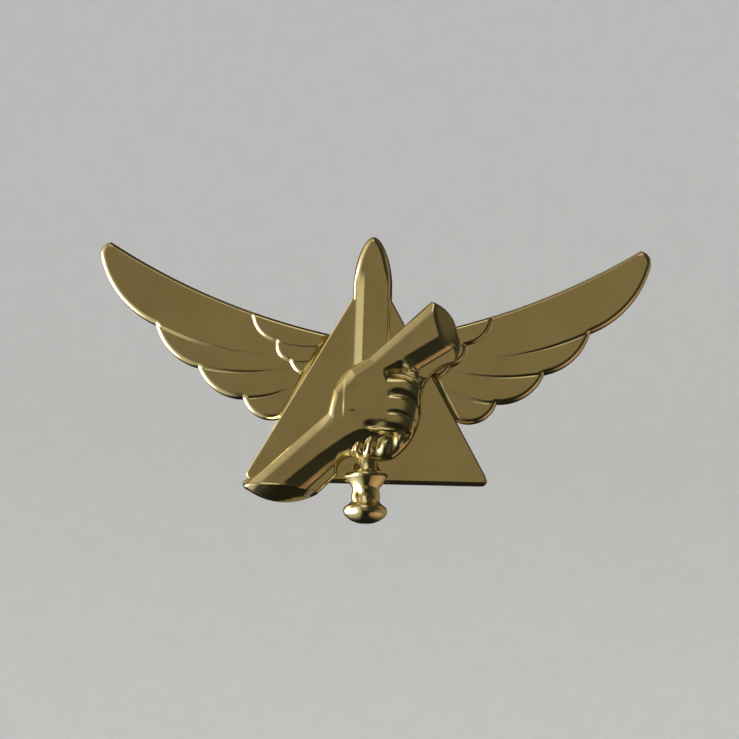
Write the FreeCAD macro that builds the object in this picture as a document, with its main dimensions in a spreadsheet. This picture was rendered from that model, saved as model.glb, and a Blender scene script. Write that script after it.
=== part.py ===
import FreeCAD, Part
import os
import Sketcher

# A pair of pilot wings worn on the chest, 50 mm across.
# Frame: origin in the middle of the flat back, +X to the viewer's right, +Z up, and the face looks
# along -Y.
# The emblem is five struck pieces soldered in layers. Two nail posts stand out of its back along +Y,
# and a butterfly clutch slides on to each post behind the cloth.

Vector = FreeCAD.Vector
Rotation = FreeCAD.Rotation
Placement = FreeCAD.Placement

doc = FreeCAD.newDocument("pilot_wings_pin")
dim = doc.addObject("Spreadsheet::Sheet", "dim")

# Driving dimensions in millimetres and degrees. Depths run from the flat back towards the face.
DIMENSIONS = {
    "wing_depth": 1.0,
    "covert_depth": 1.45,
    "feather_line_depth": 0.25,
    "feather_line_half": 0.12,
    "delta_depth": 1.7,
    "delta_top_half": 1.73,
    "delta_base_half": 11.1,
    "delta_top": 5.4,
    "delta_base": -11.2,
    "delta_corner": 0.5,
    "lap_width": 1.2,
    "lap_relief": 0.6,
    "blade_depth": 2.3,
    "blade_half": 1.7,
    "blade_end": -9.5,
    "nose_tip": 11.05,
    "nose_side": 9.2,
    "nose_side_half": 1.2,
    "nose_shoulder": 6.6,
    "blade_bevel": 0.45,
    "hilt_axis_depth": 1.2,
    "throat_radius": 1.45,
    "throat_top": -9.5,
    "collar_radius": 2.05,
    "collar_top": -10.4,
    "collar_end": -11.5,
    "neck_radius": 1.25,
    "pommel_radius": 2.0,
    "pommel_top": -13.2,
    "pommel_end": -14.9,
    "pommel_chamfer": 0.5,
    "arms_depth": 3.6,
    "arms_slope": 0.5,
    "finger_line_depth": 0.35,
    "finger_line_half": 0.15,
    "post_offset": 8.2,
    "post_height": -0.65,
    "pad_radius": 2.4,
    "pad_depth": 0.4,
    "shoulder_radius": 0.8,
    "shoulder_end": 2.0,
    "needle_radius": 0.5,
    "notch_radius": 0.38,
    "notch_start": 6.2,
    "notch_length": 0.6,
    "needle_end": 7.6,
    "tip_end": 8.6,
    "tip_radius": 0.08,
    "clutch_front": 2.2,
    "cup_radius": 3.8,
    "cup_length": 1.5,
    "cup_sheet": 0.35,
    "cup_hole_radius": 0.7,
    "cup_round": 0.25,
    "lip_width": 0.7,
    "clip_radius": 3.35,
    "clip_sheet": 0.3,
    "clip_front": 2.65,
    "clip_hole_radius": 0.55,
    "window_half_length": 1.95,
    "window_half_width": 0.38,
    "pivot_height": 2.0,
    "pivot_depth": 2.85,
    "ear_sheet": 0.3,
    "ear_fold_radius": 0.22,
    "ear_straight": 2.0,
    "ear_reach": 4.0,
    "ear_flare": 0.8,
    "ear_root_half": 1.75,
    "ear_wide_half": 2.55,
    "ear_wide_reach": 2.5,
    "ear_lean": 8.0,
}

# The right wing in front view: the top edge runs from the root to the tip, then the ends of the four
# feathers are arcs with a notch between each two, and the last point is where the trailing edge meets
# the delta.
WING_ROOT_TOP = (3.7, 2.2)
WING_TOP_MIDDLE = (12.9, 4.85)
WING_TIP = (24.4, 10.5)
WING_ROOT_LOW = (7.86, -5.45)
FEATHER_ENDS = [
    ((24.95, 9.75), (25.0, 8.9)),
    ((22.8, 5.0), (19.6, 2.75)),
    ((18.4, 0.55), (15.6, -1.05)),
    ((14.2, -2.9), (11.4, -3.8)),
    ((10.0, -5.4), WING_ROOT_LOW),
]
COVERT_START = (10.8, 4.1)
COVERT_ENDS = [
    ((10.3, 2.3), (8.5, 1.3)),
    ((8.4, 0.3), (7.3, -0.3)),
    ((6.95, -1.05), (5.7, -1.64)),
]
# Where each groove between two feathers starts at its notch, and where it runs out towards the root.
FEATHER_LINES = [
    ((19.6, 2.75), (10.2, 0.1)),
    ((15.5, -1.05), (7.6, -1.2)),
    ((11.3, -3.7), (7.4, -2.9)),
]

# The clasped arms in front view, from the cut end of the lower sleeve, up its edge, over the back of the
# hand to the upper sleeve's cut end, and back round the fist.
ARMS_START = (-10.9, -11.4)
ARMS_STEPS = [
    ((-9.4, -10.5),),
    ((-3.55, -5.1),),
    ((-3.17, -3.1),),
    ((-1.74, -1.1), (0.0, -0.1)),
    ((5.35, 5.1),),
    ((7.3, 3.95), (7.95, 1.4)),
    ((7.7, -0.4),),
    ((5.4, -2.0), (4.7, -4.6)),
    ((4.3, -7.0), (2.5, -9.1)),
    ((-1.0, -9.4),),
    ((-4.28, -12.4),),
    ((-7.6, -13.2), (-10.6, -12.0)),
    (ARMS_START,),
]
# Left end, right end and height of the grooves between the four fingers.
FINGER_LINES = [(1.33, 4.2, -1.64), (1.3, 4.2, -3.4), (1.25, 3.7, -4.85), (0.5, 2.55, -5.9)]


def fill_sheet():
    """Write each driving dimension to the sheet, beside its name and under its alias."""
    for row, (alias, value) in enumerate(DIMENSIONS.items(), start=1):
        dim.set(f"A{row}", alias)
        dim.set(f"B{row}", str(value))
        dim.setAlias(f"B{row}", alias)
    doc.recompute()


def number(formula):
    """The value of a formula of driving dimensions."""
    return float(dim.evalExpression(formula))


def body_named(label):
    """An empty body with the sub-part's name."""
    body = doc.addObject("PartDesign::Body", label)
    body.Label = label
    return body


def sketch_on(body, name, role, offset="0"):
    """A sketch on one of the body's origin planes, moved along the plane's normal by a formula."""
    plane = next(feature for feature in body.Origin.OriginFeatures if feature.Role == role)
    sketch = body.newObject("Sketcher::SketchObject", f"{body.Label}_{name}")
    sketch.AttachmentSupport = [(plane, "")]
    sketch.MapMode = "FlatFace"
    sketch.setExpression("AttachmentOffset.Base.z", offset)
    return sketch


def outline(sketch, start, steps, side=1):
    """Close an outline of lines, (end,), and three-point arcs, (middle, end). side -1 mirrors it."""
    here = Vector(side * start[0], start[1], 0)
    first = here
    for step in steps:
        points = [Vector(side * x, y, 0) for x, y in step]
        if len(points) == 2:
            sketch.addGeometry(Part.Arc(here, points[0], points[1]))
        else:
            sketch.addGeometry(Part.LineSegment(here, points[0]))
        here = points[-1]
    if here.distanceToPoint(first) > 1e-6:
        sketch.addGeometry(Part.LineSegment(here, first))
    return sketch


def profile(sketch, corners):
    """Close a polygon whose corners are pairs of formulas, each one a constraint bound to the sheet."""
    count = len(corners)
    points = [Vector(number(x), number(y), 0) for x, y in corners]
    for index in range(count):
        sketch.addGeometry(Part.LineSegment(points[index], points[(index + 1) % count]))
    for index in range(count):
        sketch.addConstraint(Sketcher.Constraint("Coincident", index, 2, (index + 1) % count, 1))
    for index, corner in enumerate(corners):
        for kind, axis, formula in (("DistanceX", -2, corner[0]), ("DistanceY", -1, corner[1])):
            if formula == "0":
                sketch.addConstraint(Sketcher.Constraint("PointOnObject", index, 1, axis))
                continue
            rule = sketch.addConstraint(Sketcher.Constraint(kind, -1, 1, index, 1, number(formula)))
            sketch.setExpression(f"Constraints[{rule}]", formula)
    return sketch


def pad(body, sketch, length, midplane=False):
    """Pad a sketch along its normal, or half each way."""
    feature = body.newObject("PartDesign::Pad", f"{sketch.Label}_pad")
    feature.Profile = sketch
    feature.setExpression("Length", length)
    feature.Midplane = midplane
    return feature


def pocket(body, sketch, length, forwards=False, midplane=False):
    """Cut a sketch into the body against its normal, or along it, and see that it did cut."""
    doc.recompute()
    before = body.Shape.Volume
    feature = body.newObject("PartDesign::Pocket", f"{sketch.Label}_pocket")
    feature.Profile = sketch
    feature.setExpression("Length", length)
    feature.Reversed = forwards
    feature.Midplane = midplane
    doc.recompute()
    if body.Shape.Volume > before - 1e-6:
        raise RuntimeError(f"{feature.Name} cuts nothing")
    return feature


def turned(body, sketch, axis="V_Axis"):
    """Turn a sketch once about one of its axes."""
    feature = body.newObject("PartDesign::Revolution", f"{sketch.Label}_turned")
    feature.Profile = sketch
    feature.Angle = 360
    feature.ReferenceAxis = (sketch, [axis])
    return feature


def edges_at_depth(shape, depth):
    """Names of the edges that lie flat at a depth in front of the back."""
    names = []
    for index, edge in enumerate(shape.Edges, start=1):
        box = edge.BoundBox
        if abs(box.YMin + depth) < 1e-6 and abs(box.YMax + depth) < 1e-6:
            names.append(f"Edge{index}")
    return names


def line_groove(sketch, start, end, half_width, side=1):
    """A narrow four-sided slot from one point to another."""
    ahead = Vector(end[0] - start[0], end[1] - start[1], 0).normalize() * half_width
    across = Vector(-ahead.y, ahead.x, 0)
    first = Vector(start[0], start[1], 0)
    last = Vector(end[0], end[1], 0)
    corners = [first + across, last + across, last - across, first - across]
    points = [(corner.x, corner.y) for corner in corners]
    outline(sketch, points[0], [(point,) for point in points[1:]], side)


def lap_corners(reach_out):
    """The strip of wing root let into the delta's back, which starts a little outside the delta."""
    along = Vector(WING_ROOT_LOW[0] - WING_ROOT_TOP[0], WING_ROOT_LOW[1] - WING_ROOT_TOP[1], 0).normalize()
    inward = Vector(along.y, -along.x, 0)
    top = Vector(WING_ROOT_TOP[0], WING_ROOT_TOP[1], 0)
    low = Vector(WING_ROOT_LOW[0], WING_ROOT_LOW[1], 0)
    outside = inward * -reach_out
    inside = inward * number("dim.lap_width")
    corners = [top + outside, low + outside, low + inside, top + inside]
    return [(corner.x, corner.y) for corner in corners]


def wing(label, side):
    """A wing: a plate with four feather ends, a raised patch of coverts and three grooves."""
    body = body_named(label)
    root = lap_corners(0.0)
    steps = [(WING_TOP_MIDDLE, WING_TIP)] + FEATHER_ENDS + [(root[2],), (root[3],), (WING_ROOT_TOP,)]
    pad(body, outline(sketch_on(body, "plate", "XZ_Plane"), WING_ROOT_TOP, steps, side), "dim.wing_depth")
    coverts = sketch_on(body, "coverts", "XZ_Plane")
    outline(coverts, (3.9, 2.25), [((7.4, 3.1), COVERT_START)] + COVERT_ENDS, side)
    pad(body, coverts, "dim.covert_depth")
    lines = sketch_on(body, "feather_lines", "XZ_Plane", "dim.wing_depth - dim.feather_line_depth")
    for start, end in FEATHER_LINES:
        line_groove(lines, start, end, number("dim.feather_line_half"), side)
    pocket(body, lines, "dim.feather_line_depth", forwards=True)
    return body


def delta_plate():
    """The triangular plate, rounded at its two base corners, with the wing roots let into its back."""
    body = body_named("delta_plate")
    corners = [
        ("-dim.delta_top_half", "dim.delta_top"),
        ("dim.delta_top_half", "dim.delta_top"),
        ("dim.delta_base_half", "dim.delta_base"),
        ("-dim.delta_base_half", "dim.delta_base"),
    ]
    plate = pad(body, profile(sketch_on(body, "plate", "XZ_Plane"), corners), "dim.delta_depth")
    doc.recompute()
    base_corners = []
    for index, edge in enumerate(plate.Shape.Edges, start=1):
        box = edge.BoundBox
        if box.YLength > 1.0 and box.ZMax < number("dim.delta_base") + 0.1:
            base_corners.append(f"Edge{index}")
    rounded = body.newObject("PartDesign::Fillet", "delta_plate_corners")
    rounded.Base = (plate, base_corners)
    rounded.setExpression("Radius", "dim.delta_corner")
    laps = sketch_on(body, "laps", "XZ_Plane")
    strip = lap_corners(number("dim.lap_relief"))
    for side in (1, -1):
        outline(laps, strip[0], [(corner,) for corner in strip[1:]], side)
    pocket(body, laps, "dim.wing_depth", forwards=True)
    return body


def sword():
    """A blade with a pointed nose and a hilt, stepped at the back to sit over the delta."""
    body = body_named("sword")
    tip = (0.0, number("dim.nose_tip"))
    half = number("dim.blade_half")
    side = (number("dim.nose_side_half"), number("dim.nose_side"))
    shoulder = number("dim.nose_shoulder")
    end = number("dim.blade_end")
    steps = [
        (side, (half, shoulder)),
        ((half, end),),
        ((-half, end),),
        ((-half, shoulder),),
        ((-side[0], side[1]), tip),
    ]
    blade = pad(body, outline(sketch_on(body, "blade", "XZ_Plane"), tip, steps), "dim.blade_depth")
    doc.recompute()
    bevel = body.newObject("PartDesign::Chamfer", "sword_bevel")
    bevel.Base = (blade, edges_at_depth(blade.Shape, number("dim.blade_depth")))
    bevel.setExpression("Size", "dim.blade_bevel")
    hilt = sketch_on(body, "hilt", "YZ_Plane")
    axis = "-dim.hilt_axis_depth"
    profile(hilt, [
        (axis, "dim.throat_top"),
        (f"{axis} - dim.throat_radius", "dim.throat_top"),
        (f"{axis} - dim.throat_radius", "dim.collar_top"),
        (f"{axis} - dim.collar_radius", "dim.collar_top"),
        (f"{axis} - dim.collar_radius", "dim.collar_end + dim.blade_bevel"),
        (f"{axis} - dim.collar_radius + dim.blade_bevel", "dim.collar_end"),
        (f"{axis} - dim.neck_radius", "dim.collar_end"),
        (f"{axis} - dim.neck_radius", "dim.pommel_top"),
        (f"{axis} - dim.pommel_radius", "dim.pommel_top"),
        (f"{axis} - dim.pommel_radius", "dim.pommel_end + dim.pommel_chamfer"),
        (f"{axis} - dim.pommel_radius + dim.pommel_chamfer", "dim.pommel_end"),
        (axis, "dim.pommel_end"),
    ])
    top = Vector(number(axis), number("dim.throat_top"), 0)
    low = Vector(number(axis), number("dim.pommel_end"), 0)
    hilt.addGeometry(Part.LineSegment(top, low), True)
    turned(body, hilt, "Axis0")
    trim = sketch_on(body, "back_trim", "XZ_Plane")
    profile(trim, [
        ("-2 * dim.collar_radius", "dim.pommel_end - 1"),
        ("2 * dim.collar_radius", "dim.pommel_end - 1"),
        ("2 * dim.collar_radius", "dim.throat_top + 1"),
        ("-2 * dim.collar_radius", "dim.throat_top + 1"),
    ])
    pocket(body, trim, "dim.collar_radius")
    seat = sketch_on(body, "delta_seat", "XZ_Plane")
    profile(seat, [
        ("-2 * dim.collar_radius", "dim.delta_base"),
        ("2 * dim.collar_radius", "dim.delta_base"),
        ("2 * dim.collar_radius", "dim.delta_top"),
        ("-2 * dim.collar_radius", "dim.delta_top"),
    ])
    pocket(body, seat, "dim.delta_depth", forwards=True)
    return body


def clasped_arms():
    """Two sleeved arms that clasp hands, as one raised piece that lies over the delta and the blade."""
    body = body_named("clasped_arms")
    shape = sketch_on(body, "outline", "XZ_Plane", "dim.delta_depth")
    outline(shape, ARMS_START, ARMS_STEPS)
    block = pad(body, shape, "dim.arms_depth - dim.delta_depth")
    doc.recompute()
    slope = body.newObject("PartDesign::Chamfer", "clasped_arms_slope")
    slope.Base = (block, edges_at_depth(block.Shape, number("dim.arms_depth")))
    slope.setExpression("Size", "dim.arms_slope")
    seat = sketch_on(body, "blade_seat", "XZ_Plane", "dim.delta_depth")
    profile(seat, [
        ("-dim.blade_half", "dim.blade_end"),
        ("dim.blade_half", "dim.blade_end"),
        ("dim.blade_half", "dim.delta_top"),
        ("-dim.blade_half", "dim.delta_top"),
    ])
    pocket(body, seat, "dim.blade_depth - dim.delta_depth", forwards=True)
    fingers = sketch_on(body, "fingers", "XZ_Plane", "dim.arms_depth - dim.finger_line_depth")
    for left, right, height in FINGER_LINES:
        line_groove(fingers, (left, height), (right, height), number("dim.finger_line_half"))
    pocket(body, fingers, "dim.finger_line_depth", forwards=True)
    return body


def post(label, side):
    """A nail post: a pad soldered to the wing's back, a shoulder, and a notched needle with a point."""
    body = body_named(label)
    half_section = profile(sketch_on(body, "half_section", "XY_Plane"), [
        ("0", "0"),
        ("dim.pad_radius", "0"),
        ("dim.pad_radius", "dim.pad_depth"),
        ("dim.shoulder_radius", "dim.pad_depth"),
        ("dim.shoulder_radius", "dim.shoulder_end"),
        ("dim.needle_radius", "dim.shoulder_end"),
        ("dim.needle_radius", "dim.notch_start"),
        ("dim.notch_radius", "dim.notch_start"),
        ("dim.notch_radius", "dim.notch_start + dim.notch_length"),
        ("dim.needle_radius", "dim.notch_start + dim.notch_length"),
        ("dim.needle_radius", "dim.needle_end"),
        ("dim.tip_radius", "dim.tip_end"),
        ("0", "dim.tip_end"),
    ])
    turned(body, half_section)
    place(body, side, "0", "0")
    return body


def place(body, side, depth, rise):
    """Put a piece of the fastener on one side of the emblem."""
    body.setExpression("Placement.Base.x", f"{side} * dim.post_offset")
    body.setExpression("Placement.Base.y", depth)
    body.setExpression("Placement.Base.z", f"dim.post_height + {rise}")


def clutch_cup(label, side):
    """The clutch's drawn cup: a disc with a hole, a wall, and a lip rolled in over the spring clip."""
    body = body_named(label)
    front = "dim.clutch_front"
    back = f"{front} + dim.cup_length"
    half_section = profile(sketch_on(body, "half_section", "XY_Plane"), [
        ("dim.cup_hole_radius", front),
        ("dim.cup_radius - dim.cup_round", front),
        ("dim.cup_radius", f"{front} + dim.cup_round"),
        ("dim.cup_radius", f"{back} - dim.cup_round"),
        ("dim.cup_radius - dim.cup_round", back),
        ("dim.cup_radius - dim.lip_width", back),
        ("dim.cup_radius - dim.lip_width", f"{back} - dim.cup_sheet"),
        ("dim.cup_radius - dim.cup_sheet", f"{back} - dim.cup_sheet"),
        ("dim.cup_radius - dim.cup_sheet", f"{front} + dim.cup_sheet"),
        ("dim.cup_hole_radius", f"{front} + dim.cup_sheet"),
    ])
    turned(body, half_section)
    place(body, side, "0", "0")
    return body


def spring_clip(label, side):
    """The sprung disc in the cup: its hole grips the needle, and the ears stand out of two windows."""
    body = body_named(label)
    half_section = profile(sketch_on(body, "half_section", "XY_Plane"), [
        ("dim.clip_hole_radius", "dim.clip_front"),
        ("dim.clip_radius", "dim.clip_front"),
        ("dim.clip_radius", "dim.clip_front + dim.clip_sheet"),
        ("dim.clip_hole_radius", "dim.clip_front + dim.clip_sheet"),
    ])
    turned(body, half_section)
    windows = sketch_on(body, "windows", "XZ_Plane")
    for row in (1, -1):
        middle = row * number("dim.pivot_height")
        half_length = number("dim.window_half_length")
        half_width = number("dim.window_half_width")
        low = middle - half_width
        high = middle + half_width
        outline(windows, (-half_length, low), [
            ((half_length, low),),
            ((half_length, high),),
            ((-half_length, high),),
        ])
    pocket(body, windows, "dim.clip_front + 2 * dim.clip_sheet")
    place(body, side, "0", "0")
    return body


def clutch_ear(label, side, row):
    """A butterfly ear: a strip with a round fold at its foot, a flare at its end and a rounded tip."""
    body = body_named(label)
    section = sketch_on(body, "section", "YZ_Plane")
    straight = number("dim.ear_straight")
    reach = number("dim.ear_reach")
    flare = number("dim.ear_flare") * row
    half = number("dim.ear_sheet") / 2
    bow = (straight + (reach - straight) * 0.55, flare * 0.3)
    outline(section, (0.0, -half), [
        ((straight, -half),),
        ((bow[0], bow[1] - half), (reach, flare - half)),
        ((reach, flare + half),),
        ((bow[0], bow[1] + half), (straight, half)),
        ((0.0, half),),
    ])
    pad(body, section, "2 * dim.ear_wide_half", midplane=True)
    root = number("dim.ear_root_half")
    wide = number("dim.ear_wide_half")
    widest_at = number("dim.ear_wide_reach")
    frame = wide + 1
    trim = sketch_on(body, "trim", "XY_Plane")
    outline(trim, (-frame, -1), [((frame, -1),), ((frame, reach + 1),), ((-frame, reach + 1),)])
    outline(trim, (-root, -0.5), [
        ((root, -0.5),),
        ((root, 0.6),),
        ((wide - 0.15, 1.5), (wide, widest_at)),
        ((0.75 * wide, reach - 0.3), (0.0, reach)),
        ((-0.75 * wide, reach - 0.3), (-wide, widest_at)),
        ((0.15 - wide, 1.5), (-root, 0.6)),
    ])
    pocket(body, trim, "4 * dim.ear_reach", midplane=True)
    fold = sketch_on(body, "fold", "YZ_Plane")
    circle = fold.addGeometry(Part.Circle(Vector(0, 0, 0), Vector(0, 0, 1), number("dim.ear_fold_radius")))
    rule = fold.addConstraint(Sketcher.Constraint("Radius", circle, number("dim.ear_fold_radius")))
    fold.setExpression(f"Constraints[{rule}]", "dim.ear_fold_radius")
    pad(body, fold, "2 * dim.ear_root_half", midplane=True)
    body.Placement = Placement(Vector(0, 0, 0), Rotation(Vector(1, 0, 0), row * number("dim.ear_lean")))
    place(body, side, "dim.pivot_depth", f"{row} * dim.pivot_height")
    return body


def build():
    """Every sub-part, from the emblem's layers to the two fasteners behind it."""
    fill_sheet()
    parts = [wing("left_wing", -1), wing("right_wing", 1), delta_plate(), sword(), clasped_arms()]
    for name, side in (("left", -1), ("right", 1)):
        parts.append(post(f"{name}_post", side))
        parts.append(clutch_cup(f"{name}_clutch_cup", side))
        parts.append(spring_clip(f"{name}_spring_clip", side))
        parts.append(clutch_ear(f"{name}_upper_ear", side, 1))
        parts.append(clutch_ear(f"{name}_lower_ear", side, -1))
    doc.recompute()
    return parts


def check(parts):
    """Stop if any object failed or any sub-part isn't one valid solid."""
    failed = [thing.Name for thing in doc.Objects if {"Invalid", "Error"} & set(thing.State)]
    if failed:
        raise RuntimeError(f"failed objects: {failed}")
    for part in parts:
        shape = part.Shape
        if shape.isNull() or not shape.isValid() or len(shape.Solids) != 1:
            raise RuntimeError(f"{part.Label} isn't one valid solid")


def write(parts):
    """Write each sub-part to its own STEP file."""
    os.makedirs("parts", exist_ok=True)
    for part in parts:
        part.Shape.exportStep(f"parts/{part.Label}.step")
        print(f"{part.Label}: {part.Shape.Volume:.2f} mm3")


pieces = build()
check(pieces)
write(pieces)
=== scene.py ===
import math

import bpy
import numpy as np
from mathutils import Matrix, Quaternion, Vector
from mathutils.geometry import delaunay_2d_cdt

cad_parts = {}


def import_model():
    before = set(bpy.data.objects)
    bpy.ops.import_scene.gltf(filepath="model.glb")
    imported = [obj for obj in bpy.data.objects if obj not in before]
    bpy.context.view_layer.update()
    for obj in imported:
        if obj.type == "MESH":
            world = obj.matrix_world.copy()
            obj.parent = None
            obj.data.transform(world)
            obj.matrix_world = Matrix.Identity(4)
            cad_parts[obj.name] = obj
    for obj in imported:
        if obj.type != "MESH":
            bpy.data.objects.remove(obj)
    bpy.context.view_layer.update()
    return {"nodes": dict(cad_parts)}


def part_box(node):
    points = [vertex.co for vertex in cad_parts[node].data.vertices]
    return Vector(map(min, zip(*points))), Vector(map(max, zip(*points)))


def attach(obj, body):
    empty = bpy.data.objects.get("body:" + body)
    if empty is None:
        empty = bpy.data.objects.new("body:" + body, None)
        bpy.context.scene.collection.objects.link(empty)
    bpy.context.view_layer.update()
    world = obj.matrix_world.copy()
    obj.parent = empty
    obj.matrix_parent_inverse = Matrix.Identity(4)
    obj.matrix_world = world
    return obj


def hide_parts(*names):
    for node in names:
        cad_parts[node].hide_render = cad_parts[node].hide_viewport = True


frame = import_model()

# Shapes are drawn in millimetres in the row frame, as (x, z) seen from the front, and turned into metres
# when a mesh is made. A depth is how far a surface stands in front of the flat back, so y = -depth.
MM = 0.001


def depth_of(node):
    """How far a CAD node's front stands in front of the back, in millimetres."""
    return -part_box(node)[0][1] / MM


# The heights of the main faces, the last two measured down from the fronts of their CAD nodes.
DELTA_TOP = depth_of("delta_plate")
BLADE_TOP = depth_of("sword") - 0.95
ARMS_TOP = depth_of("clasped_arms") - 0.1

# ---------------------------------------------------------------- outlines


def arc(start, middle, end, spacing):
    """Points along the circular arc through three points, without its end."""
    (ax, ay), (bx, by), (cx, cy) = start, middle, end
    twice_area = 2 * (ax * (by - cy) + bx * (cy - ay) + cx * (ay - by))
    a2, b2, c2 = ax * ax + ay * ay, bx * bx + by * by, cx * cx + cy * cy
    ox = (a2 * (by - cy) + b2 * (cy - ay) + c2 * (ay - by)) / twice_area
    oy = (a2 * (cx - bx) + b2 * (ax - cx) + c2 * (bx - ax)) / twice_area
    radius = math.hypot(ax - ox, ay - oy)
    first = math.atan2(ay - oy, ax - ox)
    half = (math.atan2(by - oy, bx - ox) - first) % math.tau
    whole = (math.atan2(cy - oy, cx - ox) - first) % math.tau
    if half > whole:
        whole -= math.tau
    count = max(2, int(abs(whole) * radius / spacing))
    angles = first + whole * np.arange(count) / count
    return [(ox + radius * math.cos(t), oy + radius * math.sin(t)) for t in angles]


def line(start, end, spacing):
    """Points along a straight line, without its end."""
    count = max(1, int(math.dist(start, end) / spacing))
    across, up = end[0] - start[0], end[1] - start[1]
    return [(start[0] + across * i / count, start[1] + up * i / count) for i in range(count)]


def path(start, steps, spacing):
    """Points along lines, (end,), and three-point arcs, (middle, end), with the last end included."""
    points = []
    here = start
    for step in steps:
        points += arc(here, *step, spacing) if len(step) == 2 else line(here, step[0], spacing)
        here = step[-1]
    return np.array(points + [here])


def nearest(points, route):
    """Each point's distance to a polyline, the side of it that it is on, and how far along it, 0 to 1."""
    starts, ends = route[:-1], route[1:]
    spans = ends - starts
    lengths = np.hypot(spans[:, 0], spans[:, 1])
    before = np.concatenate([[0], np.cumsum(lengths)[:-1]])
    best = np.full(len(points), np.inf)
    side = np.ones(len(points))
    along = np.zeros(len(points))
    for a, span, length, run in zip(starts, spans, lengths, before):
        if length < 1e-9:
            continue
        offset = points - a
        t = np.clip((offset @ span) / length**2, 0, 1)
        gap = offset - t[:, None] * span
        distance = np.hypot(gap[:, 0], gap[:, 1])
        closer = distance < best - 1e-9
        best[closer] = distance[closer]
        cross = span[0] * offset[:, 1] - span[1] * offset[:, 0]
        side[closer] = np.where(cross[closer] >= 0, 1, -1)
        along[closer] = (run + t[closer] * length) / lengths.sum()
    return best, side, along


def inside(points, loop):
    """Which points lie inside a closed loop."""
    x, y = points[:, 0], points[:, 1]
    result = np.zeros(len(points), bool)
    for (ax, ay), (bx, by) in zip(loop, np.roll(loop, -1, axis=0)):
        crosses = (ay > y) != (by > y)
        if ay != by:
            result ^= crosses & (x < (bx - ax) * (y - ay) / (by - ay) + ax)
    return result


def leftward(headings):
    """The unit direction to the left of each heading."""
    ahead = headings / np.hypot(headings[:, 0], headings[:, 1])[:, None]
    return np.stack([-ahead[:, 1], ahead[:, 0]], axis=1)


def moved_in(loop, distance):
    """A closed anticlockwise loop with each point moved inwards."""
    return loop + distance * leftward(np.roll(loop, -1, axis=0) - np.roll(loop, 1, axis=0))


def beside(route, distance):
    """An open route with each point moved to its left, or to its right when the distance is negative."""
    return route + distance * leftward(np.gradient(route, axis=0))


def smooth(t):
    """A ramp from 0 to 1 that is level at both ends."""
    t = np.clip(t, 0, 1)
    return t * t * (3 - 2 * t)


def round_over(t):
    """A quarter-round edge, from 0 at the outside to 1."""
    t = np.clip(t, 0, 1)
    return np.sqrt(1 - (1 - t) ** 2)


def rise_to(t):
    """A step's rounded upper edge, from 0 at its foot to 1, no steeper than an eased ramp."""
    return np.sin(np.clip(t, 0, 1) * math.pi / 2)


def lower_of(a, b, blend):
    """The lower of two surfaces, with the ridge between them rounded over a height of about blend."""
    share = np.clip(0.5 + 0.5 * (b - a) / blend, 0, 1)
    return b * (1 - share) + a * share - blend * share * (1 - share)


def higher_of(a, b, blend):
    """The higher of two surfaces, with the valley between them filled over a height of about blend."""
    return -lower_of(-a, -b, blend)


def section(position, corners, blur=0.12):
    """A section drawn as straight runs between (position, height) corners, which are then rounded."""
    places, heights = zip(*corners)
    shifts = np.linspace(-blur, blur, 7)
    return sum(np.interp(position + shift, places, heights) for shift in shifts) / len(shifts)


# ---------------------------------------------------------------- mesh makers


def finish_mesh(name, vertices, faces, sharp_degrees=38):
    """A smooth-shaded object, sharp where its surface turns quickly, from vertices in millimetres."""
    mesh = bpy.data.meshes.new(name)
    mesh.from_pydata([tuple(c * MM for c in v) for v in vertices], [], faces)
    mesh.validate()
    mesh.shade_smooth()
    mesh.set_sharp_from_angle(angle=math.radians(sharp_degrees))
    mesh.update()
    piece = bpy.data.objects.new(name, mesh)
    bpy.context.scene.collection.objects.link(piece)
    return piece


# How far inside an outline its rings of points lie, and how far beside a crease its rows lie.
RINGS = (0.04, 0.1, 0.17, 0.26, 0.36)
CREASE_ROWS = (-0.26, -0.17, -0.1, -0.05, 0.0, 0.05, 0.1, 0.17, 0.26)
# The height of a row of equilateral triangles, as a share of their side.
ROW_HEIGHT = 0.866


def scattered(loop, spacing, rings, creases):
    """Points over a plate: its outline, rings inside it, rows along the creases and a grid between."""
    closed = np.vstack([loop, loop[:1]])
    points = [loop]
    for ring in rings:
        moved = moved_in(loop, ring)
        gap = nearest(moved, closed)[0]
        points.append(moved[(gap > ring * 0.93) & inside(moved, loop)])
    margin = rings[-1] + 0.45 * spacing
    for crease in creases:
        for offset in CREASE_ROWS:
            row = beside(crease, offset)
            row = row[inside(row, loop)]
            points.append(row[nearest(row, closed)[0] > margin])
    low, high = loop.min(axis=0), loop.max(axis=0)
    grid = np.array([
        (x + (i % 2) * spacing / 2, z)
        for i, z in enumerate(np.arange(low[1], high[1], spacing * ROW_HEIGHT))
        for x in np.arange(low[0], high[0], spacing)
    ])
    grid = grid[inside(grid, loop)]
    grid = grid[nearest(grid, closed)[0] > margin]
    for crease in creases:
        grid = grid[nearest(grid, crease)[0] > CREASE_ROWS[-1] + 0.3 * spacing]
    return np.vstack(points + [grid])


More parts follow.
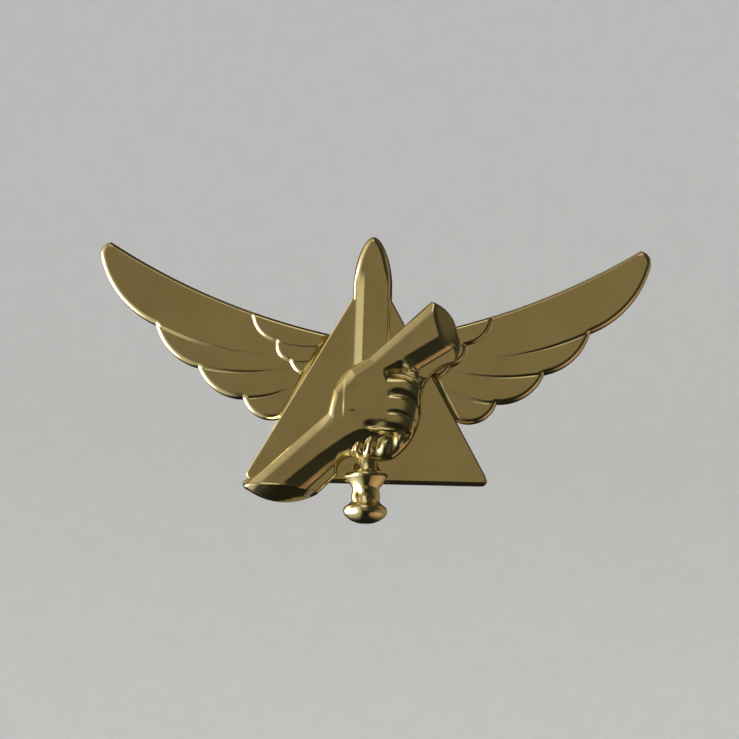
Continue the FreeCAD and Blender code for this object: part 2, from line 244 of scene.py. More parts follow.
def relief(name, loop, depth, spacing, back, rings=RINGS, creases=(), mirrored=False):
    """A struck plate: a front of varying depth over a closed outline, a wall and a flat back.

    loop is the anticlockwise outline, depth(points) gives the front's depth, and back is the depth of
    the flat back.
    """
    loop = loop[:-1] if math.dist(loop[0], loop[-1]) < 1e-6 else loop
    count = len(loop)
    edges = [(i, (i + 1) % count) for i in range(count)]
    flat = scattered(loop, spacing, rings, creases)
    made, _, faces, origin, _, _ = delaunay_2d_cdt([Vector(p) for p in flat], edges, [], 1, 1e-5)
    made = np.array([tuple(v) for v in made])
    place = {source: index for index, sources in enumerate(origin) for source in sources}
    rim = [place[i] for i in range(count)]
    chamfer = 0.05
    wall = len(made)
    vertices = [(x, -d, z) for (x, z), d in zip(made, depth(made))]
    vertices += [(x, -(back + chamfer), z) for x, z in loop]
    vertices += [(x, -back, z) for x, z in moved_in(loop, chamfer)]
    faces = [tuple(f) for f in faces]
    for i in range(count):
        j = (i + 1) % count
        faces.append((rim[j], rim[i], wall + i, wall + j))
        faces.append((wall + j, wall + i, wall + count + i, wall + count + j))
    faces.append(tuple(wall + count + i for i in reversed(range(count))))
    if mirrored:
        vertices = [(-x, y, z) for x, y, z in vertices]
        faces = [tuple(reversed(f)) for f in faces]
    return finish_mesh(name, vertices, faces)


# ---------------------------------------------------------------- wings

WING_ROOT_TOP = (3.7, 2.2)
WING_ROOT_LOW = (7.86, -5.45)
WING_TIP = (24.0, 10.32)
TOP_EDGE = ((12.9, 4.85), WING_TIP)
TIP_END = ((24.64, 9.98), (24.93, 9.0))
# The rounded lower end of each feather, from the longest to the shortest, as an arc's middle and end.
FEATHER_ENDS = [
    ((22.8, 5.0), (19.6, 2.75)),
    ((18.4, 0.55), (15.6, -1.05)),
    ((14.2, -2.9), (11.4, -3.8)),
    ((10.0, -5.4), WING_ROOT_LOW),
]
# The lower edge of each of the first three feathers, from its notch over the next feather to the root.
FEATHER_EDGES = [
    ((19.6, 2.75), (15.0, 1.0), (9.6, 0.15)),
    ((15.6, -1.05), (11.2, -1.45), (6.6, -0.8)),
    ((11.4, -3.8), (8.6, -3.4), (6.2, -2.2)),
]
# The lower edges of the coverts' three lobes, from the top edge down to the delta.
COVERT_START = (10.85, 4.3)
COVERT_LOBES = [
    ((10.45, 2.6), (8.55, 1.35)),
    ((8.35, 0.25), (7.25, -0.4)),
    ((6.85, -1.1), (5.3, -1.7)),
]
# Where two coverts meet, from the notch between their lobes to the root.
COVERT_EDGES = [
    ((8.55, 1.35), (6.6, 0.95), (4.6, 0.95)),
    ((7.25, -0.4), (6.2, -0.5), (5.2, -0.35)),
]
LINE_STEP = 0.12
# The depths of the feathers, the coverts and the outer rim before any detail is added.
FEATHER_DEPTH = 1.18
COVERT_DEPTH = 1.4
WING_RIM = 0.72


def wing_creases():
    """The feathers' edges, the coverts' edges and the lobes' outline."""
    routes = [path(start, [step], LINE_STEP) for start, *step in FEATHER_EDGES + COVERT_EDGES]
    return routes, path(COVERT_START, COVERT_LOBES, LINE_STEP)


def wing_depth(points):
    """Overlapping feathers with rounded lower ends, and the coverts' raised patch near the root."""
    routes, lobes = wing_creases()
    depth = np.full(len(points), FEATHER_DEPTH)
    # each longer feather stands a little above the next shorter one, most of all at its notch
    for edge in reversed(routes[:3]):
        distance, side, along = nearest(points, edge)
        fade = 1 - smooth((along - 0.1) / 0.85)
        raised = (0.01 + 0.08 * fade) * rise_to(distance / 0.28) * np.exp(-distance / 3.5)
        depth += np.where(side < 0, raised, 0)
        depth -= (0.015 + 0.03 * fade) * np.exp(-((distance / 0.1) ** 2))
    # the coverts
    root_side = path(COVERT_LOBES[-1][1], [((2.0, 0.5),), (WING_ROOT_TOP,)], LINE_STEP)
    top_side = path(WING_ROOT_TOP, [((7.6, 3.35), COVERT_START)], LINE_STEP)
    patch = np.vstack([lobes, root_side, top_side])
    covert = np.full(len(points), COVERT_DEPTH)
    for edge in routes[3:]:
        distance, side, _ = nearest(points, edge)
        covert += np.where(side < 0, 0.03 * rise_to(distance / 0.15), 0)
        covert -= 0.02 * np.exp(-((distance / 0.1) ** 2))
    distance = nearest(points, lobes)[0]
    rise = np.maximum(covert - depth, 0) * rise_to(distance / 0.36)
    depth += np.where(inside(points, patch), rise, 0) - 0.03 * np.exp(-((distance / 0.1) ** 2))
    # the outer edges: broad and round on the feather ends, a narrow bevel along the top
    ends = nearest(points, path(WING_TIP, [TIP_END] + FEATHER_ENDS, LINE_STEP))[0]
    top = nearest(points, path(WING_ROOT_TOP, [TOP_EDGE], LINE_STEP))[0]
    depth = WING_RIM + (depth - WING_RIM) * round_over((ends + 0.01) / 0.5)
    return WING_RIM + (depth - WING_RIM) * np.minimum((top + 0.02) / 0.3, 1)


def wing(side):
    """One wing, drawn as the right-hand one and mirrored for the left."""
    loop = path(WING_ROOT_TOP, [TOP_EDGE, TIP_END] + FEATHER_ENDS, LINE_STEP)
    under_delta = np.array([(-0.05, -0.03)])
    loop = np.vstack([loop, WING_ROOT_LOW + under_delta, WING_ROOT_TOP + under_delta])
    routes, lobes = wing_creases()
    return relief(
        f"{side}_wing_relief",
        loop[::-1],
        wing_depth,
        0.16,
        0.0,
        creases=routes + [lobes],
        mirrored=side == "left",
    )


# ---------------------------------------------------------------- delta

DELTA_TOP_HALF = 1.73
DELTA_BASE_HALF = 11.1
DELTA_CORNER = 0.5
DELTA_RINGS = (0.04, 0.09, 0.15, 0.22, 0.3)


def delta_outline(spacing):
    """The triangle with its cut-off top and rounded base corners, anticlockwise from its top right."""
    low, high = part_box("delta_plate")
    base, top = low[2] / MM, high[2] / MM
    slope = math.atan2(top - base, DELTA_BASE_HALF - DELTA_TOP_HALF)
    reach = DELTA_CORNER / math.tan(slope / 2)
    centre = (DELTA_BASE_HALF - reach, base + DELTA_CORNER)
    start = (DELTA_BASE_HALF - reach, base)
    middle_angle = (math.pi - slope) / 2 - math.pi / 2
    bend = (
        centre[0] + DELTA_CORNER * math.cos(middle_angle),
        centre[1] + DELTA_CORNER * math.sin(middle_angle),
    )
    end = (DELTA_BASE_HALF - reach * math.cos(slope), base + reach * math.sin(slope))
    left = [(-x, z) for x, z in (end, bend, start)]
    steps = [((-DELTA_TOP_HALF, top),), (left[0],), (left[1], left[2]), (start,), (bend, end)]
    return path((DELTA_TOP_HALF, top), steps + [((DELTA_TOP_HALF, top),)], spacing)


def delta_depth(points):
    """A flat face with a narrow rounded edge, a bevel along the base and a very slight crown."""
    distance = nearest(points, delta_outline(0.3))[0]
    crown = 0.04 * np.exp(-((points[:, 0] / 6) ** 2))
    above_base = points[:, 1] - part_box("delta_plate")[0][2] / MM
    bevel = 0.22 * np.clip(1 - above_base / 0.2, 0, 1)
    edge = 0.14 * (1 - round_over((distance + 0.01) / 0.2))
    return DELTA_TOP - 0.04 + crown - np.maximum(edge, bevel)


def delta():
    """The delta plate."""
    return relief("delta_relief", delta_outline(0.16), delta_depth, 0.26, 0.0, rings=DELTA_RINGS)


# ---------------------------------------------------------------- sword

BLADE_HALF = 1.7
BLADE_END = -8.9
SHOULDER = 6.6
NOSE_TIP = 11.05
# The lit facet's left and right edges, and the depths of the outline along the blade and round the nose.
FACET_EDGES = (-1.35, -0.62)
BLADE_RIM = 1.1
NOSE_RIM = 1.3


def nose_half(z):
    """The nose's half-width: full at the shoulder and closing to a blunt point."""
    share = np.clip((z - SHOULDER) / (NOSE_TIP - SHOULDER), 0, 1)
    return BLADE_HALF * (1 - share**1.8) ** 0.55


def blade_outline():
    """The nose, then the parallel blade down to where the hilt's throat takes over, anticlockwise."""
    heights = NOSE_TIP - (NOSE_TIP - SHOULDER) * (1 - np.cos(np.linspace(0, math.pi / 2, 46)))
    left = [(-nose_half(z), z) for z in heights]
    left += line((-BLADE_HALF, SHOULDER - 0.12), (-BLADE_HALF, BLADE_END), 0.12)
    base = line((-BLADE_HALF, BLADE_END), (BLADE_HALF, BLADE_END), 0.12)
    right = [(-x, z) for x, z in left[:0:-1]]
    return np.array(left + base + [(BLADE_HALF, BLADE_END)] + right)


def blade_depth(points):
    """A lit facet on the left of a flat blade, lost in a smooth round-edged nose."""
    x, z = points[:, 0], points[:, 1]
    left, right = FACET_EDGES
    corners = [
        (-BLADE_HALF, 2.02),
        (left, 2.06),
        (right, BLADE_TOP),
        (1.58, BLADE_TOP - 0.03),
        (BLADE_HALF, 2.0),
    ]
    facets = section(x, corners, 0.04)
    rim = nearest(points, blade_outline())[0]
    domed = NOSE_RIM + (BLADE_TOP - 0.02 * x**2 - NOSE_RIM) * round_over((rim + 0.01) / 0.6)
    fade = smooth((z - 6.4) / 2.2)
    eased = BLADE_RIM + (facets - BLADE_RIM) * round_over((rim + 0.01) / 0.25)
    return np.where(z > 5.2, eased, facets) * (1 - fade) + domed * fade


def blade():
    """The nose and the blade."""
    creases = [np.array(line((x, 8.6), (x, -9.0), 0.2)) for x in FACET_EDGES]
    return relief("blade_relief", blade_outline(), blade_depth, 0.13, 0.02, creases=creases)


# How far the hilt's axis stands in front of the back.
HILT_AXIS = 1.2
# The hilt's half-outline from its throat down over the guard, the grip and the pommel, as (radius, z).
HILT_START = (1.1, -8.7)
HILT_STEPS = [
    ((1.17, -9.4), (1.42, -10.1)),
    ((1.62, -10.3), (1.9, -10.38)),
    ((2.05, -10.58), (1.93, -10.88)),
    ((1.56, -11.28), (1.3, -11.6)),
    ((1.23, -12.2), (1.3, -12.85)),
    ((1.47, -13.13), (1.78, -13.34)),
    ((1.97, -13.74), (1.84, -14.15)),
    ((1.1, -14.7), (0.05, -14.88)),
]


def hilt():
    """Throat, guard, twisted grip and pommel: a round shape cut off behind and slightly four-sided."""
    profile = path(HILT_START, HILT_STEPS, 0.045)
    columns = 97
    reach = math.radians(125)
    angles = np.linspace(-reach, reach, columns)
    vertices = []
    for r, z in profile:
        grip = float(smooth((-11.5 - z) / 0.3) * smooth((z + 13.2) / 0.3))
        for t in angles:
            twist = 0.06 * grip * math.sin(2 * t + z * 5.2)
            radius = (r + twist) * (0.958 + 0.042 * math.cos(4 * t))
            vertices.append((radius * math.sin(t), -max(HILT_AXIS + radius * math.cos(t), 0.02), z))
    faces = []
    for i in range(len(profile) - 1):
        a = i * columns
        for j in range(a, a + columns - 1):
            faces.append((j, j + columns, j + columns + 1, j + 1))
        faces.append((a, a + columns - 1, a + 2 * columns - 1, a + columns))
    faces.append(tuple(range(columns)))
    faces.append(tuple(reversed(range(len(vertices) - columns, len(vertices)))))
    return finish_mesh("hilt_relief", vertices, faces, 60)


# ---------------------------------------------------------------- clasped arms

ARM_ANGLE = math.radians(43)
ARMS_BACK = DELTA_TOP - 0.04
ARMS_START = (-10.9, -11.4)
ARMS_STEPS = [
    ((-10.9, -11.9), (-10.5, -12.2)),
    ((-7.6, -13.2), (-4.28, -12.4)),
    ((-2.5, -10.6),),
    ((-2.3, -9.5), (-1.3, -9.0)),
    ((0.4, -9.35), (2.4, -9.1)),
    ((4.2, -7.0), (4.75, -4.0)),
    ((5.6, -1.6), (7.7, -0.45)),
    ((8.05, 1.3), (7.55, 3.3)),
    ((6.7, 4.45), (5.4, 5.1)),
    ((0.0, -0.1),),
    ((-1.74, -1.0), (-3.17, -3.1)),
    ((-3.55, -5.1),),
    ((-9.4, -10.5),),
    (ARMS_START,),
]
# The creases that part the fingers: left end, right end, height, droop at the right end and thickness.
CREASES = [
    (1.0, 5.2, -1.8, 1.0, 0.34),
    (1.3, 5.0, -3.6, 0.9, 0.32),
    (1.2, 4.5, -5.25, 0.4, 0.17),
    (-0.9, 4.2, -6.45, 0.5, 0.3),
]
# The other hand's finger ends below the fist: middle, half-width, height, half-length and rise.
TIPS = [
    (-2.1, 0.45, -8.4, 0.45, 0.5),
    (-0.75, 0.5, -8.2, 0.8, 0.65),
    (0.35, 0.5, -7.9, 1.1, 0.65),
    (1.7, 0.65, -8.0, 0.9, 0.5),
    (2.9, 0.5, -7.5, 0.7, 0.3),
]
# The depths of the arms' outline, and of the ground that the fingers of both hands rise from.
ARMS_RIM = 1.72
HAND_GROUND = 1.7


def sleeve_depth(u, v):
    """The tube of both arms, u along it and v across: flat on top and rounding over to the lower right."""
    top = np.interp(u, [-6.1, -4.4, -2.0, -0.1], [-1.3, -0.15, 0.3, 0.0])
    turn = np.interp(
        u,
        [-15, -12, -9, -6.5, -4.5, -2.4, -0.9, 0.2, 2.35, 5.6, 8],
        [-3.5, -3.6, -3.8, -4.1, -4.6, -5.4, -3.8, -1.9, -2.3, -2.9, -3.1],
    )
    narrow = 1 + 0.9 * np.exp(-(((u + 5.2) / 1.3) ** 2))
    rise = section(
        narrow * (top - v),
        [(-0.2, -1.3), (0.12, -0.55), (0.85, -0.1), (1.6, 0.0), (9, 0.0)],
        0.2,
    )
    fall = section(
        turn - v,
        [(-9, 0.0), (-0.1, 0.0), (0.1, -0.05), (1.1, -0.7), (1.75, -1.45), (2.7, -2.3), (4, -3.4)],
        0.14,
    )
    return ARMS_TOP + rise + fall * np.interp(u, [-13, -9], [0.74, 1])


def arms_depth(points):
    """Sleeves, back of the hand, fingers folded over from the left, and the other hand's ends below."""
    x, z = points[:, 0], points[:, 1]
    u = x * math.cos(ARM_ANGLE) + z * math.sin(ARM_ANGLE)
    v = z * math.cos(ARM_ANGLE) - x * math.sin(ARM_ANGLE)
    depth = sleeve_depth(u, v)
    # the folded fingers round off to the right
    edge = np.interp(z, [-9.0, -7.0, -4.6, -2.4, -1.0], [2.8, 4.3, 4.85, 5.3, 6.0])
    first_row = -0.8 - 0.07 * np.maximum(x - 2.5, 0) ** 2.2
    rows = smooth((z + 7.4) / 0.8) * smooth((first_row - z) / 0.6) * smooth((x + 0.9) / 0.9)
    curl = ARMS_TOP - 1.6 * (1 - round_over((edge - x) / 2.9)) - 0.5 * smooth((z + 2.5) / 1.1)
    curl -= 0.2 * smooth((1.8 - x) / 2.6)
    depth = higher_of(depth, HAND_GROUND + (curl - HAND_GROUND) * rows, 0.12)
    # the knuckle between the first finger and the upper arm
    ahead = 0.82 * (x - 3.9) - 0.57 * (z + 1.1)
    across = 0.57 * (x - 3.9) + 0.82 * (z + 1.1)
    depth += 0.5 * np.exp(-((ahead / 0.75) ** 2) - (across / 0.3) ** 2)
    for left, right, height, droop, thick in CREASES:
        bend = np.clip((x - (right - 2.2)) / 2.2, 0, 1.3)
        middle = height + 0.12 * np.sin(1.3 * (x - left)) - droop * bend**2
        reach = smooth((x - left) / 1.6) * smooth((right + 0.4 - x) / 1.2)
        flank = np.where(z < middle, 0.7 * thick, 1.3 * thick)
        depth -= 0.9 * thick * reach * np.exp(-(((z - middle) / flank) ** 2))
    # the other hand's finger ends
    low_hand = smooth((-6.6 - z) / 0.8) * smooth((x + 2.9) / 0.6)
    depth = higher_of(depth, HAND_GROUND + 0.75 * low_hand, 0.12)
    for middle, half, height, tall, lift in TIPS:
        lean = middle + 0.15 * (z - height)
        lump = np.exp(-(((x - lean) / half) ** 2) - ((z - height) / tall) ** 2)
        depth = higher_of(depth, 2.3 + (lift + 0.15) * lump, 0.12)
    # the front hand's cuff stands up a little from its sleeve, and the thumb folds in beside it
    foot = np.exp(-(((z + 4.7) / 0.7) ** 2))
    cuff = smooth((z + 6.6) / 1.6) * smooth((-1.4 - z) / 1.4) * np.exp(-np.maximum(x + 1.9, 0) / 1.6)
    depth += cuff * (0.035 + 0.05 * foot) * smooth((x + 2.15) / 0.2)
    depth -= 0.07 * np.exp(-(((x + 1.25) / 0.4) ** 2) - ((z + 5.2) / 0.24) ** 2)
    # the sleeves' cut ends: one faces down and the other to the right
    low_end = np.interp(x, [-11, -9.0, -7.0, -5.5, -4.28], [-11.88, -11.85, -11.88, -12.0, -12.25])
    depth += 0.05 * np.exp(-(((z - low_end - 0.06) / 0.08) ** 2)) * smooth((-5.5 - x) / 2)
    depth -= 1.15 * np.maximum(low_end - z, 0)
    high_end = 5.45 + (5.0 - z) * 0.32
    depth = np.where(u > 3, lower_of(depth, ARMS_TOP - 0.06 - (x - high_end) * 1.15, 0.35), depth)
    rim = nearest(points, path(ARMS_START, ARMS_STEPS, 0.2))[0]
    rounded = round_over((rim + 0.03) / (0.22 + 0.45 * low_hand))
    return np.maximum(ARMS_RIM + (depth - ARMS_RIM) * rounded, ARMS_RIM)


def arms():
    """Both arms and their hands."""
    return relief("clasped_arms_relief", path(ARMS_START, ARMS_STEPS, 0.1), arms_depth, 0.085, ARMS_BACK)


# ---------------------------------------------------------------- posts and clutches

POST_X = 8.2
POST_Z = -0.65
# Half-sections as steps of a path, in (radius, y).
POST_START = (0.0, 0.0)
POST_STEPS = [
    ((2.33, 0.0),),
    ((2.4, 0.07),),
    ((2.4, 0.3),),
    ((2.37, 0.37), (2.3, 0.4)),
    ((1.15, 0.4),),
    ((0.9, 0.5), (0.8, 0.75)),
    ((0.8, 1.9),),
    ((0.77, 1.97), (0.7, 2.0)),
    ((0.5, 2.03),),
    ((0.5, 6.15),),
    ((0.38, 6.3),),
    ((0.38, 6.7),),
    ((0.5, 6.85),),
    ((0.5, 7.6),),
    ((0.36, 8.05), (0.08, 8.55)),
    ((0.0, 8.6),),
]
CUP_START = (0.78, 2.2)
CUP_STEPS = [
    ((1.5, 2.2),),
    ((1.75, 2.29), (2.0, 2.2)),
    ((3.45, 2.2),),
    ((3.7, 2.3), (3.8, 2.55)),
    ((3.8, 3.4),),
    ((3.71, 3.61), (3.5, 3.7)),
    ((3.25, 3.7),),
    ((3.1, 3.55), (3.25, 3.4)),
    ((3.4, 3.4),),
    ((3.45, 3.35),),
    ((3.45, 2.62),),
    ((3.4, 2.55),),
    ((2.05, 2.55),),
    ((1.75, 2.61), (1.45, 2.55)),
    ((0.78, 2.55),),
    ((0.7, 2.375), CUP_START),
]


def turned(name, start, steps, x, z, spacing=0.06, columns=72):
    """A half-section turned about an axis along y, closed on itself or on the axis."""
    profile = path(start, steps, spacing)
    closed = profile[0][0] > 0
    profile = profile[:-1] if closed else profile[1:-1]
    vertices = []
    for r, y in profile:
        for column in range(columns):
            angle = math.tau * column / columns
            vertices.append((x + r * math.cos(angle), y, z + r * math.sin(angle)))
    faces = []
    rows = len(profile)
    for row in range(rows if closed else rows - 1):
        here, there = row * columns, (row + 1) % rows * columns
        for column in range(columns):
            beyond = (column + 1) % columns
            faces.append((here + column, there + column, there + beyond, here + beyond))
    if not closed:
        low, high = len(vertices), len(vertices) + 1
        vertices += [(x, start[1], z), (x, steps[-1][-1][1], z)]
        last = (rows - 1) * columns
        for column in range(columns):
            beyond = (column + 1) % columns
            faces.append((low, column, beyond))
            faces.append((high, last + beyond, last + column))
    return finish_mesh(name, vertices, faces)


# An ear's fold as (y, distance from the needle), its lean, and where it starts, ends and is widest.
EAR_FOLD = (2.85, 2.0)
EAR_LEAN = math.radians(8.0)
EAR_START = -0.2
EAR_REACH = 4.0
EAR_WIDEST = 2.3
# How wide an ear's edge rounds over.
EAR_EDGE = 0.12


def ear_half(s):
    """An ear's half-width at a distance from its fold: narrow at the foot, widest past the middle."""
    grown = 1.75 + 0.8 * smooth((s - 0.5) / 2.0)
    beyond = max((s - EAR_WIDEST) / (EAR_REACH - EAR_WIDEST), 0)
    return grown * math.sqrt(max(1 - beyond**2.4, 0.0))


def ear(name, x, row):
    """A thin leaf that leans away from the needle and flares at its end, with rounded edges and a fold."""
    lean = (math.cos(EAR_LEAN), math.sin(EAR_LEAN))
    fold_y, fold_z = EAR_FOLD
    even = np.linspace(EAR_START, 3.3, 40)
    closing = EAR_REACH - 0.7 * np.linspace(1, 0.015, 26)[1:] ** 1.6
    steps = np.concatenate([even, closing])
    across = np.linspace(-1, 1, 25)
    ends = [(math.sin(t), math.cos(t)) for t in np.linspace(math.pi / 10, math.pi * 0.9, 9)]
    vertices = []
    for s in steps:
        half = max(ear_half(s), 0.08)
        flare = 0.8 * (max(s - 2.0, 0) / 2.0) ** 2
        thick = 0.15 + 0.06 * math.exp(-((s / 0.2) ** 2))
        thick *= math.sqrt(max(1 - (max(EAR_EDGE - (s - EAR_START), 0) / EAR_EDGE) ** 2, 0.05))
        edge = min(EAR_EDGE, half)
        ring = [((half - edge) * a, thick) for a in across]
        ring += [(half - edge + edge * out, thick * up) for out, up in ends]
        ring += [((half - edge) * a, -thick) for a in across[::-1]]
        ring += [(-(half - edge) - edge * out, -thick * up) for out, up in ends]
        for side, lift in ring:
            rise = flare + lift
            y = fold_y + s * lean[0] - rise * lean[1]
            z = POST_Z + row * (fold_z + s * lean[1] + rise * lean[0])
            vertices.append((x + side, y, z))
    size = len(ring)
    faces = [tuple(range(size)), tuple(reversed(range(len(vertices) - size, len(vertices))))]
    for i in range(len(steps) - 1):
        for j in range(size):
            k = (j + 1) % size
            faces.append((i * size + k, i * size + j, (i + 1) * size + j, (i + 1) * size + k))
    if row > 0:
        faces = [tuple(reversed(f)) for f in faces]
    return finish_mesh(name, vertices, faces)


# ---------------------------------------------------------------- materials


def nodes_of(name):
    """A new node material and its parts: the tree, the shader and a way to add a node."""
    material = bpy.data.materials.new(name)
    material.use_nodes = True
    tree = material.node_tree

    def add(kind, inputs=None, **settings):
        node = tree.nodes.new(kind)
        for key, value in settings.items():
            setattr(node, key, value)
        for key, value in (inputs or {}).items():
            if isinstance(value, bpy.types.NodeSocket):
                tree.links.new(value, node.inputs[key])
            else:
                node.inputs[key].default_value = value
        return node

    return material, tree, tree.nodes["Principled BSDF"], add


def plated_metal(name, light, dark, worn, rough, grain):
    """Plated brass: soft colour patches, paler worn edges, grain in the gloss and an uneven face."""
    material, tree, shader, add = nodes_of(name)
    shader.inputs["Metallic"].default_value = 1.0
    place = add("ShaderNodeTexCoord").outputs["Object"]
    cloudy = {"Vector": place, "Scale": 200.0, "Detail": 6.0, "Roughness": 0.65}
    patches = add("ShaderNodeTexNoise", cloudy)
    grainy = {"Vector": place, "Scale": grain, "Detail": 3.0, "Roughness": 0.6}
    speck = add("ShaderNodeTexNoise", grainy)
    ramp = add("ShaderNodeValToRGB", {"Fac": patches.outputs["Fac"]})
    ramp.color_ramp.elements[0].position = 0.3
    ramp.color_ramp.elements[0].color = (*dark, 1)
    ramp.color_ramp.elements[1].position = 0.7
    ramp.color_ramp.elements[1].color = (*light, 1)
    raised = add("ShaderNodeNewGeometry").outputs["Pointiness"]
    wear = add("ShaderNodeMapRange", {"Value": raised, "From Min": 0.52, "From Max": 0.6, "To Max": 0.5})
    factors = {0: wear.outputs["Result"], 1: speck.outputs["Fac"]}
    rubbed = add("ShaderNodeMath", factors, operation="MULTIPLY")
    colour = add("ShaderNodeMix", {"Factor": rubbed.outputs["Value"]}, data_type="RGBA")
    tree.links.new(ramp.outputs["Color"], colour.inputs["A"])
    colour.inputs["B"].default_value = (*worn, 1)
    tree.links.new(colour.outputs["Result"], shader.inputs["Base Color"])
    low, high = rough * 0.85, rough * 1.2
    span = {"From Min": 0.3, "From Max": 0.7, "To Min": low, "To Max": high}
    gloss = add("ShaderNodeMapRange", {"Value": speck.outputs["Fac"], **span})
    tree.links.new(gloss.outputs["Result"], shader.inputs["Roughness"])
    fine = add("ShaderNodeBump", {"Height": speck.outputs["Fac"], "Strength": 0.12, "Distance": 0.000008})
    uneven = {"Height": patches.outputs["Fac"], "Strength": 0.25, "Distance": 0.00005}
    waves = add("ShaderNodeBump", {**uneven, "Normal": fine.outputs["Normal"]})
    tree.links.new(waves.outputs["Normal"], shader.inputs["Normal"])
    return material


# ---------------------------------------------------------------- build

WORN = (0.95, 0.88, 0.68)
GOLD = plated_metal("satin_gold", (0.92, 0.82, 0.53), (0.82, 0.70, 0.41), WORN, 0.2, 7000.0)
BRASS = plated_metal("bright_brass", (0.84, 0.68, 0.36), (0.72, 0.54, 0.24), WORN, 0.2, 6000.0)

for piece, node in (
    (wing("left"), "left_wing"),
    (wing("right"), "right_wing"),
    (delta(), "delta_plate"),
    (blade(), "sword"),
    (hilt(), "sword"),
    (arms(), "clasped_arms"),
):
    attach(piece, "emblem")
    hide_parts(node)
    piece.data.materials.append(GOLD)

for side, x in (("left", -POST_X), ("right", POST_X)):
    pin = turned(f"{side}_post_pin", POST_START, POST_STEPS, x, POST_Z)
    cup = turned(f"{side}_rolled_cup", CUP_START, CUP_STEPS, x, POST_Z, columns=96)
    hardware = [
        (pin, f"{side}_post", "emblem", "post_brass"),
        (cup, f"{side}_clutch_cup", f"{side}_clutch", "clutch_brass"),
        (ear(f"{side}_upper_leaf", x, 1), f"{side}_upper_ear", f"{side}_upper_ear", "clutch_brass"),
        (ear(f"{side}_lower_leaf", x, -1), f"{side}_lower_ear", f"{side}_lower_ear", "clutch_brass"),
    ]
    for piece, node, body, slot in hardware:
        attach(piece, body)
        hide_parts(node)
        piece.data.materials.append(BRASS)
    clip = frame["nodes"][f"{side}_spring_clip"]
    clip.data.materials.clear()
    clip.data.materials.append(BRASS)

# ---------------------------------------------------------------- studio

CAMERA_AZIMUTH = math.radians(5.0)
CAMERA_ELEVATION = math.radians(-8.5)
CAMERA_ROLL = math.radians(1.9)
CAMERA_DISTANCE = 0.30
TARGET = Vector((0.0, -0.0015, -0.00103))


def camera():
    """A long lens a little below and to the right of the face's own axis."""
    data = bpy.data.cameras.new("camera")
    data.sensor_width = 36.0
    data.lens = 163.0
    data.clip_end = 20.0
    rig = bpy.data.objects.new("camera", data)
    bpy.context.scene.collection.objects.link(rig)
    away = Vector((
        math.sin(CAMERA_AZIMUTH) * math.cos(CAMERA_ELEVATION),
        -math.cos(CAMERA_AZIMUTH) * math.cos(CAMERA_ELEVATION),
        math.sin(CAMERA_ELEVATION),
    ))
    rig.location = TARGET + away * CAMERA_DISTANCE
    rig.rotation_mode = "QUATERNION"
    rig.rotation_quaternion = (-away).to_track_quat("-Z", "Y") @ Quaternion((0, 0, 1), CAMERA_ROLL)
    bpy.context.scene.camera = rig


def cove():
    """A pale floor that sweeps up into a wall all round, which the metal doesn't mirror."""
    wall = 1.1
    floor = -0.09
    sweep = 0.35
    top = 2.0
    columns = 96
    profile = [(0.02, floor), (wall - sweep, floor)]
    for step in range(1, 17):
        angle = math.pi / 2 * step / 16
        profile.append((wall - sweep + sweep * math.sin(angle), floor + sweep * (1 - math.cos(angle))))
    profile.append((wall, top))
    turns = [math.tau * column / columns for column in range(columns)]
    vertices = [(r * math.cos(t), r * math.sin(t), z) for r, z in profile for t in turns]
    faces = [tuple(range(columns))]
    for row in range(0, (len(profile) - 1) * columns, columns):
        for column in range(columns):
            beyond = (column + 1) % columns
            faces.append((row + column, row + columns + column, row + columns + beyond, row + beyond))
    mesh = bpy.data.meshes.new("cove")
    mesh.from_pydata(vertices, [], faces)
    mesh.shade_smooth()
    stage = bpy.data.objects.new("cove", mesh)
    stage.visible_glossy = False
    bpy.context.scene.collection.objects.link(stage)
    material, tree, shader, add = nodes_of("pale_paper")
    noise = add("ShaderNodeTexNoise", {"Scale": 300.0, "Detail": 3.0})
    ramp = add("ShaderNodeValToRGB", {"Fac": noise.outputs["Fac"]})
    ramp.color_ramp.elements[0].color = (0.66, 0.668, 0.68, 1)
    ramp.color_ramp.elements[1].color = (0.72, 0.728, 0.74, 1)
    tree.links.new(ramp.outputs["Color"], shader.inputs["Base Color"])
    shader.inputs["Roughness"].default_value = 0.9
    mesh.materials.append(material)


def area_light(name, place, size, power, target=(0, 0, 0)):
    """A soft light for the surroundings, which the metal doesn't mirror."""
    data = bpy.data.lights.new(name, "AREA")
    data.size = size
    data.energy = power
    lamp = bpy.data.objects.new(name, data)
    lamp.location = place
    lamp.rotation_euler = (Vector(target) - Vector(place)).to_track_quat("-Z", "Y").to_euler()
    lamp.visible_glossy = False
    bpy.context.scene.collection.objects.link(lamp)


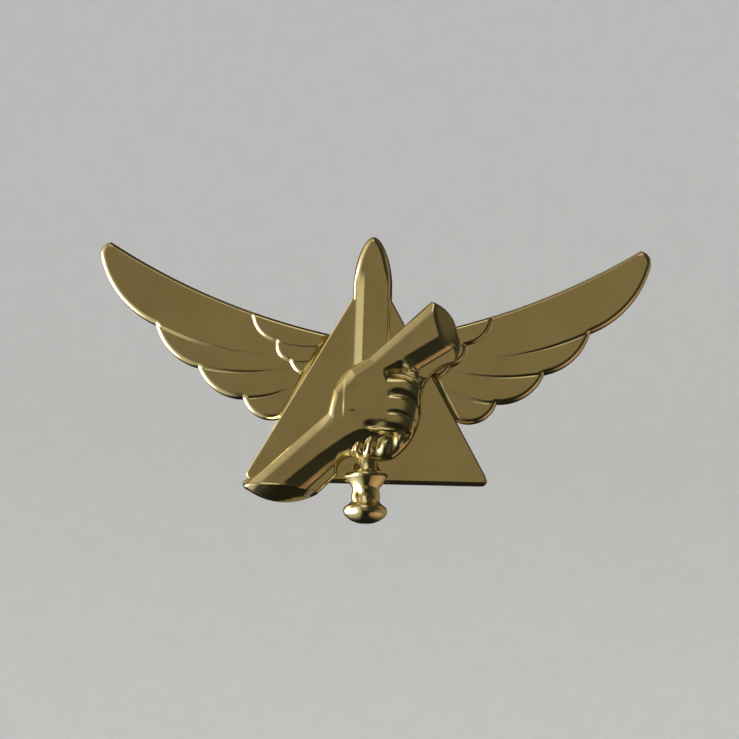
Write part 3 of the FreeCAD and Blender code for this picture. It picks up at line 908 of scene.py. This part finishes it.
# What the metal mirrors: the direction of each patch of light, the cosines where it starts and is full,
# its strength and its colour.
ROOM = [
    ((0.1, -0.98, 0.12), 0.82, 0.99, 0.195, (1.0, 0.82, 0.46)),
    ((-0.96, -0.15, -0.2), 0.35, 0.75, 0.55, (1.0, 0.95, 0.72)),
    ((-0.96, 0.0, -0.2), 0.8, 0.94, 4.5, (1.0, 1.0, 0.95)),
    ((-0.68, -0.25, 0.69), 0.5, 0.9, 0.22, (1.0, 0.82, 0.5)),
    ((0.0, -0.55, 0.83), 0.9, 0.98, 0.8, (1.0, 0.92, 0.7)),
    ((-0.45, 0.35, 0.82), 0.75, 0.95, 0.17, (1.0, 0.8, 0.5)),
    ((0.45, 0.35, 0.82), 0.75, 0.95, 0.045, (1.0, 0.75, 0.5)),
    ((1.0, -0.3, 0.1), 0.3, 0.8, 0.02, (0.9, 1.0, 0.6)),
    ((0.85, 0.5, -0.2), 0.68, 0.88, 0.25, (1.0, 0.74, 0.45)),
    ((0.70, 0.10, -0.70), 0.9, 0.97, 0.34, (1.0, 0.62, 0.36)),
]
ROOM_DARK = (0.013, 0.013, 0.009)


def world():
    """A dim room with a bright window on the left, a soft patch in front and paler walls behind."""
    scene = bpy.context.scene
    scene.world = bpy.data.worlds.new("studio")
    scene.world.use_nodes = True
    tree = scene.world.node_tree
    background = tree.nodes["Background"]
    ray = tree.nodes.new("ShaderNodeTexCoord").outputs["Generated"]

    def vector_math(operation, *inputs):
        node = tree.nodes.new("ShaderNodeVectorMath")
        node.operation = operation
        for socket, value in zip((node.inputs[0], node.inputs[1]), inputs):
            if isinstance(value, bpy.types.NodeSocket):
                tree.links.new(value, socket)
            else:
                socket.default_value = value
        return node

    total = vector_math("ADD", ROOM_DARK).outputs["Vector"]
    for direction, start, full, strength, colour in ROOM:
        toward = vector_math("DOT_PRODUCT", ray, Vector(direction).normalized())
        patch = tree.nodes.new("ShaderNodeMapRange")
        patch.interpolation_type = "SMOOTHSTEP"
        tree.links.new(toward.outputs["Value"], patch.inputs["Value"])
        span = {"From Min": start, "From Max": full, "To Min": 0.0, "To Max": strength}
        for socket, value in span.items():
            patch.inputs[socket].default_value = value
        lit = vector_math("SCALE", colour)
        tree.links.new(patch.outputs["Result"], lit.inputs["Scale"])
        total = vector_math("ADD", total, lit.outputs["Vector"]).outputs["Vector"]
    tree.links.new(total, background.inputs["Color"])
    background.inputs["Strength"].default_value = 1.0
    scene.view_settings.view_transform = "Standard"


camera()
cove()
world()
area_light("key", (-0.5, -0.45, 0.5), 0.35, 7.0)
area_light("fill", (0.5, -0.6, 0.25), 0.4, 1.9)
area_light("back", (0.0, 0.5, 0.6), 0.5, 3.0)
